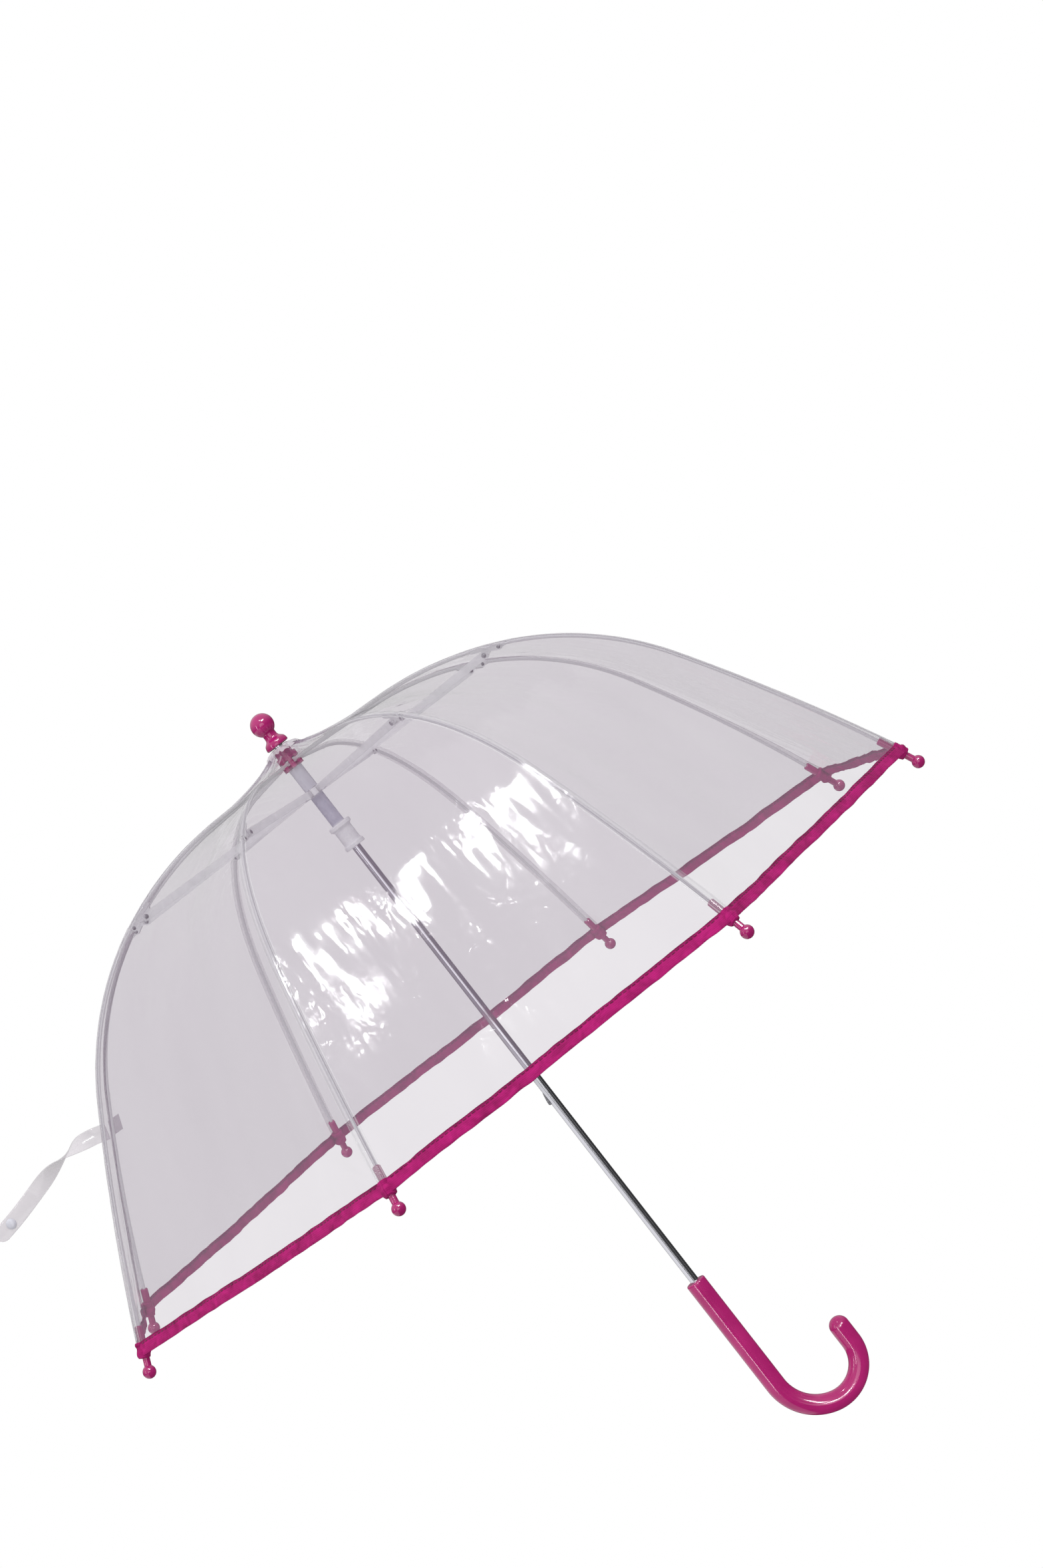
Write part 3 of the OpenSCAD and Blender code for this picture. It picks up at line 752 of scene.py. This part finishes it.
def rivets(i):
    a = rib_az(i)
    er, et = radial(a), tangent(a)
    prof = rounded([(0.0, 0.00062), (0.0009, 0.00055), (0.0016, 0.0002), (0.00175, 0.0)], 0.0003, 4)
    prof[:, 0] = np.maximum(prof[:, 0], 1e-5)
    verts, faces = [], []
    for pin, out, size in ((PIN_A, 0.0031, 1.0), (PIN_B, 0.0014, 0.85)):
        for side in (-1, 1):
            v, f = lathe(prof * size, 24)
            p = pin[0] * er + pin[1] * UP
            w = p + v[:, :1] * er + v[:, 1:2] * UP + side * (out + v[:, 2:3]) * et
            faces.append(f + sum(len(x) for x in verts))
            verts.append(w)
    ob = make(f"rivets_{i}", np.vstack(verts), np.vstack(faces), STEEL)
    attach(ob, f"rib_inner_{i}")


for i in RIBS:
    rivets(i)

# ---------------------------------------------------------------- ferrule and crown


def ferrule():
    ball = [(0.009 * math.sin(a), T + 0.009 * math.cos(a)) for a in np.linspace(0.0, 2.54, 40)]
    ball[0] = (1e-5, T + 0.009)
    neck = [(0.0051, T - 0.0078), (0.0050, T - 0.0094), (0.0052, T - 0.0112), (0.0057, T - 0.0122)]
    bell = [(0.0068, T - 0.0132), (0.0080, T - 0.0142), (0.0086, T - 0.0152), (0.0091, T - 0.0171)]
    rim = [(0.0091, T - 0.0184), (0.0085, T - 0.0190), (0.0036, T - 0.0190), (0.0036, T - 0.0165)]
    prof = np.vstack([ball, rounded([ball[-1]] + neck + bell + rim, 0.0006, 5)[1:]])
    v, f = lathe(prof, 72)
    ob = make("ferrule_cap", v, f[:, ::-1], PINK_SHADED_GLOSSY)
    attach(ob, "shaft")
    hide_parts("ferrule")


def crown():
    """The gathered collar of clear film under the ferrule, pulled into points."""
    rows, cols = 20, 144
    u = np.linspace(0, 1, rows)[:, None]
    a = np.linspace(0, 2 * math.pi, cols, endpoint=False)[None, :]
    point = np.abs(np.sin(a * 5.5 + 0.9 * lump(a * 2.2, 0.5, 501))) ** 0.8
    point = point * (0.65 + 0.35 * lump(a * 3.5, 0.7, 503))
    reach = 0.0115 + 0.0075 * point
    r = 0.0042 + (reach - 0.0042) * u
    drop = 0.0010 * ease(r, 0.006, 0.0095) + 0.62 * np.maximum(r - 0.0088, 0)
    ripple = 0.0009 * ease(r, 0.007, 0.012) * np.sin(a * 11 + 2.1 * lump(a * 4, u * 2, 505))
    z = T - 0.0197 - drop + ripple + 0.0009 * ease(r, 0.008, 0.013) * lump(a * 6, u * 3, 507)
    r = r * np.ones_like(a)
    p = np.stack([r * np.cos(a), r * np.sin(a), z], -1)
    flat = np.stack([r, a * 0.012 * np.ones_like(u), np.full_like(r, 3.3)], -1)
    ob = make("crown_collar", p.reshape(-1, 3), quads(rows, cols, wrap=True), CROWN, flat=flat.reshape(-1, 3))
    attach(ob, "shaft")
    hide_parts("crown_washer")


ferrule()
crown()

# ---------------------------------------------------------------- hooked handle


def handle():
    rad, mouth, drop = 0.0077, 0.052, 0.0453
    hook, hook_2, meet, tail = 0.038, 0.0285, math.radians(75), 0.0135
    x2 = hook - (hook - hook_2) * math.cos(meet)
    z2 = -drop - (hook - hook_2) * math.sin(meet)
    # the centre line as (x, z, angle turned): grip, wide bend, tight bend, tail
    path = [(0.0, z, 0.0) for z in np.linspace(mouth - 0.0030, -drop, 70, endpoint=False)]
    for k in np.linspace(0, meet, 60, endpoint=False):
        path.append((hook - hook * math.cos(k), -drop - hook * math.sin(k), k))
    for k in np.linspace(meet, math.pi, 70):
        path.append((x2 - hook_2 * math.cos(k), z2 - hook_2 * math.sin(k), k))
    path += [(x2 + hook_2, z2 + z, math.pi) for z in np.linspace(0, tail, 10)[1:]]
    path = np.array(path)
    ang = path[:, 2]
    cols = 120
    f = np.linspace(0, 2 * math.pi, cols, endpoint=False)
    # the mould line runs along both flanks
    line = np.exp(-(((np.abs(np.angle(np.exp(1j * (f - math.pi / 2))))) / 0.045) ** 2))
    line = line + np.exp(-(((np.abs(np.angle(np.exp(1j * (f + math.pi / 2))))) / 0.045) ** 2))
    along = np.linspace(0, 1, len(path))[:, None]
    wob = 0.00002 * lump(along * 20, f[None, :] * 2, 601)
    rr = rad + wob + 0.00007 * line[None, :]
    ex = np.stack([np.cos(ang), np.zeros_like(ang), np.sin(ang)], 1)
    centre = np.stack([path[:, 0], np.zeros(len(path)), path[:, 1]], 1)
    body = centre[:, None] + rr[..., None] * (
        np.cos(f)[None, :, None] * ex[:, None] + np.sin(f)[None, :, None] * np.array([0, 1.0, 0])
    )
    lip = [(rad, mouth - 0.003), (rad, mouth), (0.0046, mouth), (0.0036, mouth - 0.0006)]
    lip = rounded(lip + [(0.0035, mouth - 0.004)], 0.0021, 8)[::-1][:-1]
    top = np.stack([lip[:, :1] * np.cos(f), lip[:, :1] * np.sin(f), np.repeat(lip[:, 1:], cols, 1)], -1)
    end = []
    for k in np.linspace(0, math.pi / 2, 16)[1:]:
        rk = max(rad * math.cos(k), 1e-5)
        c = np.array([x2 + hook_2, 0, z2 + tail + rad * math.sin(k)])
        end.append(c + rk * np.stack([-np.cos(f), np.sin(f), 0 * f], 1))
    grid = np.vstack([top.reshape(-1, 3), body.reshape(-1, 3), np.array(end).reshape(-1, 3)])
    rows = len(grid) // cols
    ob = make("handle_hook", grid, quads(rows, cols, wrap=True, turned=True), PINK)
    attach(ob, "shaft")
    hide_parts("handle")


handle()

# ---------------------------------------------------------------- closing strap


def strap():
    wide, free = 0.013, 0.134
    depth = T - 0.167
    f = math.acos((depth - C_K[1]) / (R_K + GAP))
    root = C_K[0] + (R_K + GAP) * math.sin(f)
    a = rib_az(5)
    er, et = radial(a), tangent(a)
    # tab against panel 4 beside the seam, then the free strip with its half twist
    s_tab = float(np.interp(-depth, -LINE[:, 1], LINE_S))
    w = float(half_width(s_tab))
    ahead = np.array([0.003, 0.014, 0.032, 0.054, 0.080, 0.106, free - 0.002])
    aside = np.array([0.0004, 0.0006, -0.0010, -0.0030, -0.0030, -0.0010, 0.0005])
    above = np.array([0.0, 0.003, 0.006, 0.004, -0.003, -0.010, -0.015])
    k = np.stack([root + ahead, aside, above], 1)
    u = np.linspace(0, len(k) - 1, 90)
    line = np.stack([np.interp(u, np.arange(len(k)), k[:, c]) for c in range(3)], 1)
    for _ in range(30):
        line[1:-1] = (line[:-2] + 2 * line[1:-1] + line[2:]) / 4
    cross = np.linspace(-1, 1, 15)
    inward = np.linspace(0.012, 0, 14)
    tab = [surf(4, s_tab + cross * wide / 2, np.full(15, w - x - 0.0005), 0.0008) for x in inward]
    weld = [(k * 0.0009 * np.ones(15), cross * wide / 2, np.zeros(15)) for k in range(14)]
    weld = np.array(weld).transpose(0, 2, 1).reshape(-1, 3)
    patch = make("strap_tab", np.array(tab).reshape(-1, 3), quads(14, 15), STRAP, flat=weld)
    patch.modifiers.new("thickness", "SOLIDIFY").thickness = 0.0005
    finish_panel(patch, "panel_lower_4")
    rows = []
    way = np.linspace(0, 1, len(line))
    twist = math.pi * ease(way, 0.14, 0.74)
    for j, (r, tt, dz) in enumerate(line):
        c = r * er + tt * et + (depth + dz) * UP
        nxt = line[min(j + 1, len(line) - 1)] - line[max(j - 1, 0)]
        d = nxt[0] * er + nxt[1] * et + nxt[2] * UP
        d = d / np.linalg.norm(d)
        v = UP - (UP @ d) * d
        v = v / np.linalg.norm(v)
        n = np.cross(d, v)
        b = math.cos(twist[j]) * v + math.sin(twist[j]) * n
        m = np.cross(d, b)
        cup = 0.0004 * (1 - cross**2) * math.sin(way[j] * 9)
        round_end = 1.0
        left = (1 - way[j]) * (free - 0.005)
        if left < wide / 2:
            round_end = math.sqrt(max(1 - (1 - left / (wide / 2)) ** 2, 0.02))
        rows.append(c + cross[:, None] * wide / 2 * round_end * b + cup[:, None] * m)
    p = np.array(rows)
    zero = 0 * p[..., 0]
    flat = np.stack([np.arange(len(rows))[:, None] * 0.0014 + zero, cross[None] * wide / 2 + zero, zero], -1)
    front = p.reshape(-1, 3)
    ob = make("closing_strap", front, quads(len(rows), 15), STRAP, flat=flat.reshape(-1, 3))
    solid = ob.modifiers.new("thickness", "SOLIDIFY")
    solid.thickness, solid.offset = 0.0006, 0.0
    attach(ob, "strap")
    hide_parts("strap")
    # press stud: socket on one side, cap on the other
    j = int(len(line) * 0.88)
    r, tt, dz = line[j]
    c = r * er + tt * et + (depth + dz) * UP
    d = line[j + 1] - line[j - 1]
    d = d[0] * er + d[1] * et + d[2] * UP
    d = d / np.linalg.norm(d)
    b = UP - (UP @ d) * d
    b = b / np.linalg.norm(b)
    n = np.cross(d, b)
    cap = [(1e-5, 0.0021), (0.0026, 0.0019), (0.0042, 0.0009), (0.0043, 0.0002), (0.0040, 0.0)]
    cap = rounded(cap, 0.0006, 5)
    cup = [(0.0012, 0.0004), (0.0013, 0.0016), (0.0022, 0.0018), (0.0024, 0.0009), (0.0035, 0.0008)]
    cup = rounded(cup + [(0.0036, 0.0)], 0.0003, 4)
    verts, faces = [], []
    for prof, sign in ((cap, -1), (cup, 1)):
        v, fc = lathe(prof, 40)
        faces.append(fc + sum(len(x) for x in verts))
        verts.append(c + v[:, :1] * d + v[:, 1:2] * b + sign * (v[:, 2:3] + 0.0003) * n)
    stud = make("strap_stud", np.vstack(verts), np.vstack(faces), SLEEVE)
    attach(stud, "strap")


strap()

# ---------------------------------------------------------------- floor, light and camera


def emitter(name, colour, strength):
    m = bpy.data.materials.new(name)
    m.use_nodes = True
    t = m.node_tree
    t.nodes.clear()
    e = t.nodes.new("ShaderNodeEmission")
    e.inputs[0].default_value = (*colour, 1)
    e.inputs[1].default_value = strength
    t.links.new(e.outputs[0], t.nodes.new("ShaderNodeOutputMaterial").inputs[0])
    return m


def floor():
    n = 33
    g = np.linspace(-3.5, 3.5, n)
    x, y = np.meshgrid(g, g, indexing="ij")
    p = np.stack([x, y, np.full_like(x, -0.35)], -1)
    ob = make("floor", p.reshape(-1, 3), quads(n, n), emitter("pale_floor", (1, 1, 1), 1.0))
    ob.visible_diffuse = ob.visible_glossy = ob.visible_shadow = False


def area_light(name, aim, way, distance, size, radiance, colour=(1, 1, 1)):
    way = Vector(way).normalized()
    data = bpy.data.lights.new(name, "AREA")
    data.shape, data.size, data.size_y = "RECTANGLE", size[0], size[1]
    data.energy = radiance * math.pi * size[0] * size[1]
    data.color = colour
    ob = bpy.data.objects.new(name, data)
    ob.location = Vector(aim) + way * distance
    ob.rotation_mode = "QUATERNION"
    ob.rotation_quaternion = way.to_track_quat("Z", "Y")
    ob.visible_camera = False
    bpy.context.scene.collection.objects.link(ob)
    return ob


def world():
    w = bpy.data.worlds.new("studio")
    w.use_nodes = True
    t = w.node_tree
    t.nodes.clear()
    link = t.links.new

    def node(kind, **props):
        n = t.nodes.new("ShaderNode" + kind)
        for k, v in props.items():
            setattr(n, k, v)
        return n

    def dot(vec, way):
        n = node("VectorMath", operation="DOT_PRODUCT")
        link(vec, n.inputs[0])
        n.inputs[1].default_value = Vector(way).normalized()
        return n.outputs["Value"]

    def span(x, a, b, c, d):
        n = node("MapRange", interpolation_type="SMOOTHSTEP")
        for k, v in zip(("From Min", "From Max", "To Min", "To Max"), (a, b, c, d)):
            n.inputs[k].default_value = v
        link(x, n.inputs["Value"])
        return n.outputs[0]

    def two(op, a, b):
        n = node("Math", operation=op)
        link(a, n.inputs[0])
        link(b, n.inputs[1])
        return n.outputs[0]

    def times(a, b):
        return two("MULTIPLY", a, b)

    def plus(a, b):
        return two("ADD", a, b)

    vec = node("TexCoord").outputs["Generated"]
    fill = span(dot(vec, (0, 0, 1)), -0.7, 0.8, 0.62, 0.95)
    # what metal and gloss mirror: a dark room, a bright wall in front and pale screens lower down
    height = dot(vec, (0, 0, 1))
    room = span(height, -0.10, 0.75, 0.04, 0.70)
    above, below = span(height, -0.095, -0.075, 0.0, 1.0), span(height, -0.095, -0.075, 1.0, 0.0)
    wall = span(dot(vec, (-0.12, -0.99, 0)), 0.90, 0.94, 0.0, 1.6)
    wall = times(wall, span(dot(vec, (0.02, -1, 0)), 0.996, 0.999, 1.0, 0.15))
    screen = span(dot(vec, (-0.99, 0.12, 0)), 0.44, 0.50, 0.0, 0.66)
    line = span(dot(vec, (-0.31, -0.95, 0)), 0.9955, 0.9985, 0.0, 2.2)
    middle = span(dot(vec, (0.08, -0.99, 0)), 0.975, 0.985, 0.0, 0.14)
    thin = span(dot(vec, (0.80, -0.60, 0)), 0.990, 0.996, 0.0, 0.30)
    mirror = plus(plus(room, times(above, wall)), times(below, plus(plus(screen, line), plus(middle, thin))))
    glow, gloss, white = node("Background"), node("Background"), node("Background")
    link(fill, glow.inputs["Strength"])
    link(mirror, gloss.inputs["Strength"])
    for n in (glow, gloss, white):
        n.inputs["Color"].default_value = (1, 1, 1, 1)
    white.inputs["Strength"].default_value = 1.0
    path = node("LightPath")
    inner, mix = node("MixShader"), node("MixShader")
    link(path.outputs["Is Glossy Ray"], inner.inputs[0])
    link(glow.outputs[0], inner.inputs[1])
    link(gloss.outputs[0], inner.inputs[2])
    link(path.outputs["Is Camera Ray"], mix.inputs[0])
    link(inner.outputs[0], mix.inputs[1])
    link(white.outputs[0], mix.inputs[2])
    link(mix.outputs[0], node("OutputWorld").inputs[0])
    bpy.context.scene.world = w


def camera():
    data = bpy.data.cameras.new("camera")
    data.sensor_fit, data.sensor_height, data.lens = "VERTICAL", 36.0, 74.86
    data.clip_start, data.clip_end = 0.05, 30
    ob = bpy.data.objects.new("camera", data)
    right = Vector((0.78303, -0.10106, -0.61372))
    up = Vector((0.61101, -0.05956, 0.78938))
    back = right.cross(up).normalized()
    up = back.cross(right).normalized()
    right.normalize()
    m = Matrix((right, up, back)).transposed().to_4x4()
    m.translation = Vector((-0.1556, -2.39232, 0.45549))
    ob.matrix_world = m
    bpy.context.scene.collection.objects.link(ob)
    bpy.context.scene.camera = ob


floor()
world()
AIM = (0.0, -0.28, 0.39)
key = area_light("key_softbox", AIM, (0.08, -0.54, 0.84), 2.0, (0.60, 0.60), 11)
key.visible_glossy = False
area_light("key_strip", AIM, (0.07, -0.48, 0.875), 2.0, (0.12, 0.19), 75)
area_light("left_strip", (-0.1, 0.0, 0.25), (-0.80, -0.45, 0.40), 1.8, (0.06, 1.2), 14)


def glint(name, pieces, aim, way, size, radiance, tint=(1, 1, 1)):
    """A lamp that only these pieces mirror."""
    lamp = area_light(name, aim, way, 2.1, size, radiance, tint)
    lamp.visible_diffuse = False
    group = bpy.data.collections.new(name)
    for ob in pieces:
        group.objects.link(ob)
    lamp.light_linking.receiver_collection = group


def spark(name, pieces, aim, way, size, spread):
    """A pair of square lamps side by side."""
    side = Vector(way).cross(Vector((0, 0, 1))).normalized()
    for n in (-1, 1):
        glint(f"{name}_{n + 1}", pieces, aim, Vector(way) + side * n * spread, (size, size), 38)


CAMERA_AZ = -96.7  # degrees round the shaft from +X to the camera


def around(turn_left, lift=0.0):
    """The level direction this many degrees to the left of the camera's, seen from the shaft."""
    a = math.radians(CAMERA_AZ - turn_left)
    return (math.cos(a), math.sin(a), lift)


hook, cap = [bpy.data.objects["handle_hook"]], [bpy.data.objects["ferrule_cap"]]
tips = [cad[f"tip_{i}"] for i in RIBS]
spark("cap_spark", cap, (0, 0, T), (0.407, -0.653, 0.611), 0.34, 0.12)
spark("tip_spark", tips, (0, 0, 0.3), (0.407, -0.653, 0.611), 0.42, 0.13)
spark("hook_spark", hook, (0.03, 0, -0.09), (0.505, -0.790, 0.30), 0.26, 0.11)
spark("end_spark", hook, (0.064, 0, -0.041), (0.098, -0.986, 0.141), 0.22, 0.08)
glint("grip_line", hook, (0, 0, 0), around(32), (0.13, 1.2), 13)
tube = [cad["shaft_tube"]]
glint("tube_side", tube, (0, 0, 0.15), around(74, -0.1), (4.2, 2.4), 0.26, (0.98, 0.97, 1.0))
glint("tube_line", tube, (0, 0, 0.15), around(10, -0.1), (0.14, 1.8), 2.4)
glint("tube_far", tube, (0, 0, 0.15), around(-62, -0.1), (0.10, 1.8), 0.5)
camera()

scene = bpy.context.scene
scene.view_settings.view_transform = "Standard"
scene.cycles.transparent_max_bounces = 24

bpy.context.view_layer.update()
